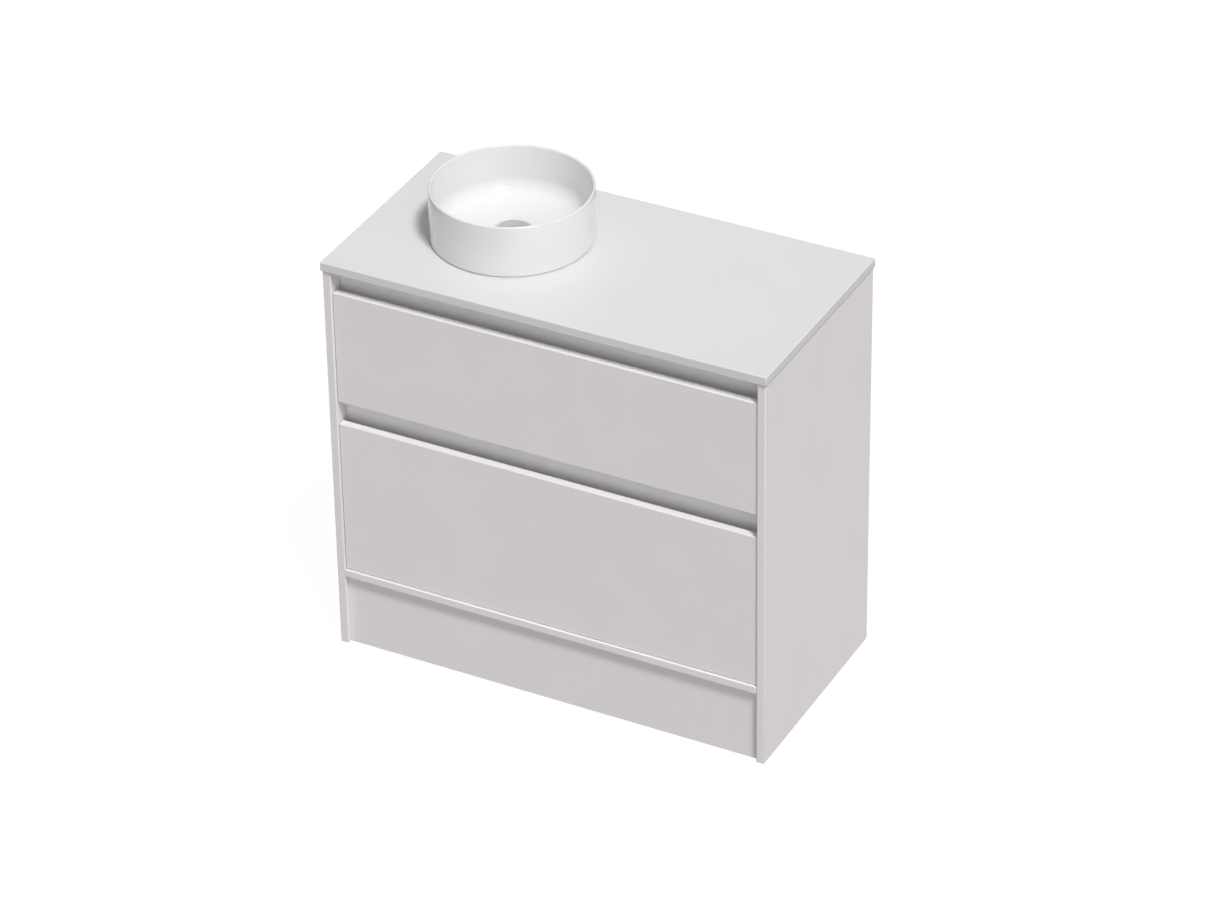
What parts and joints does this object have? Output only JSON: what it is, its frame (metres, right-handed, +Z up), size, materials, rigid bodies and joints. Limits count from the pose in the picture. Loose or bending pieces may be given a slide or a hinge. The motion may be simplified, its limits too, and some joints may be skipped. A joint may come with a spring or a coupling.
{
  "type": "vessel sink on vanity",
  "caption": "Floor-standing bathroom vanity: handleless drawers between full-height side panels, a slab bench top, and a round vessel basin left of centre over a bottle trap.",
  "frame": {"origin": "on the floor, below the middle of the bench top's outline", "axes": "+Z up, +X to the right of someone facing the drawers, -Y out of the drawer fronts, +Y towards the wall"},
  "size_m": [0.9, 0.455, 0.945],
  "materials": {
    "painted_front": "satin white painted board",
    "cabinet_board": "white melamine-faced board",
    "drawer_board": "white melamine-faced board",
    "bench_slab": "honed white slab",
    "basin_glaze": "white gloss glaze",
    "chrome_waste": "bright chrome plate",
    "runner_steel": "zinc plate",
    "white_plastic": "moulded, satin",
    "rubber_seal": "matt",
    "silicone": "clear, satin"
  },
  "bodies": {
    "cabinet": {"side_panel_left": "cabinet_board", "side_panel_right": "cabinet_board", "bottom_panel": "cabinet_board", "kick_panel": "painted_front", "rear_plinth": "cabinet_board", "front_top_rail": "painted_front", "middle_rail": "painted_front", "back_top_rail": "cabinet_board", "back_bottom_rail": "cabinet_board", "bench_top": "bench_slab", "bench_block_front_left": "white_plastic", "bench_block_front_right": "white_plastic", "bench_block_back_left": "white_plastic", "bench_block_back_right": "white_plastic", "angle_bracket_left": "runner_steel", "angle_bracket_right": "runner_steel", "upper_drawer_runner_outer_left": "runner_steel", "upper_drawer_runner_outer_right": "runner_steel", "lower_drawer_runner_outer_left": "runner_steel", "lower_drawer_runner_outer_right": "runner_steel", "basin": "basin_glaze", "basin_seal": "silicone", "waste_body": "chrome_waste", "waste_washer": "rubber_seal", "waste_backnut": "chrome_waste", "plug_guide": "white_plastic", "trap_inlet_nut": "white_plastic", "trap_dip_tube": "white_plastic", "trap_body": "white_plastic", "trap_cup": "white_plastic", "trap_outlet_nut": "white_plastic", "trap_outlet_pipe": "white_plastic"},
    "upper_drawer": {"upper_drawer_front": "painted_front", "upper_drawer_inner_front": "drawer_board", "upper_drawer_side_left": "drawer_board", "upper_drawer_side_right": "drawer_board", "upper_drawer_base": "drawer_board", "upper_drawer_back_left": "drawer_board", "upper_drawer_back_right": "drawer_board", "upper_drawer_notch_front": "drawer_board", "upper_drawer_notch_left": "drawer_board", "upper_drawer_notch_right": "drawer_board", "upper_drawer_runner_inner_left": "runner_steel", "upper_drawer_runner_inner_right": "runner_steel"},
    "lower_drawer": {"lower_drawer_front": "painted_front", "lower_drawer_inner_front": "drawer_board", "lower_drawer_side_left": "drawer_board", "lower_drawer_side_right": "drawer_board", "lower_drawer_base": "drawer_board", "lower_drawer_back": "drawer_board", "lower_drawer_runner_inner_left": "runner_steel", "lower_drawer_runner_inner_right": "runner_steel"},
    "upper_runner_middle": {"upper_drawer_runner_middle_left": "runner_steel", "upper_drawer_runner_middle_right": "runner_steel"},
    "lower_runner_middle": {"lower_drawer_runner_middle_left": "runner_steel", "lower_drawer_runner_middle_right": "runner_steel"},
    "plug": {"plug_cap": "chrome_waste", "plug_seal": "rubber_seal", "plug_stem": "chrome_waste"}
  },
  "joints": [
    {"name": "upper_drawer_slide", "type": "slide", "parent": "cabinet", "child": "upper_drawer", "axis": [0, -1, 0], "range_m": [0, 0.4]},
    {"name": "lower_drawer_slide", "type": "slide", "parent": "cabinet", "child": "lower_drawer", "axis": [0, -1, 0], "range_m": [0, 0.4]},
    {"name": "upper_runner_slide", "type": "slide", "parent": "cabinet", "child": "upper_runner_middle", "axis": [0, -1, 0], "range_m": [0, 0.2]},
    {"name": "lower_runner_slide", "type": "slide", "parent": "cabinet", "child": "lower_runner_middle", "axis": [0, -1, 0], "range_m": [0, 0.2]},
    {"name": "plug_lift", "type": "slide", "parent": "cabinet", "child": "plug", "axis": [0, 0, 1], "range_m": [0, 0.007]}
  ],
  "couplings": [
    {"joint": "upper_runner_slide", "follows": "upper_drawer_slide", "ratio": 0.5},
    {"joint": "lower_runner_slide", "follows": "lower_drawer_slide", "ratio": 0.5}
  ]
}
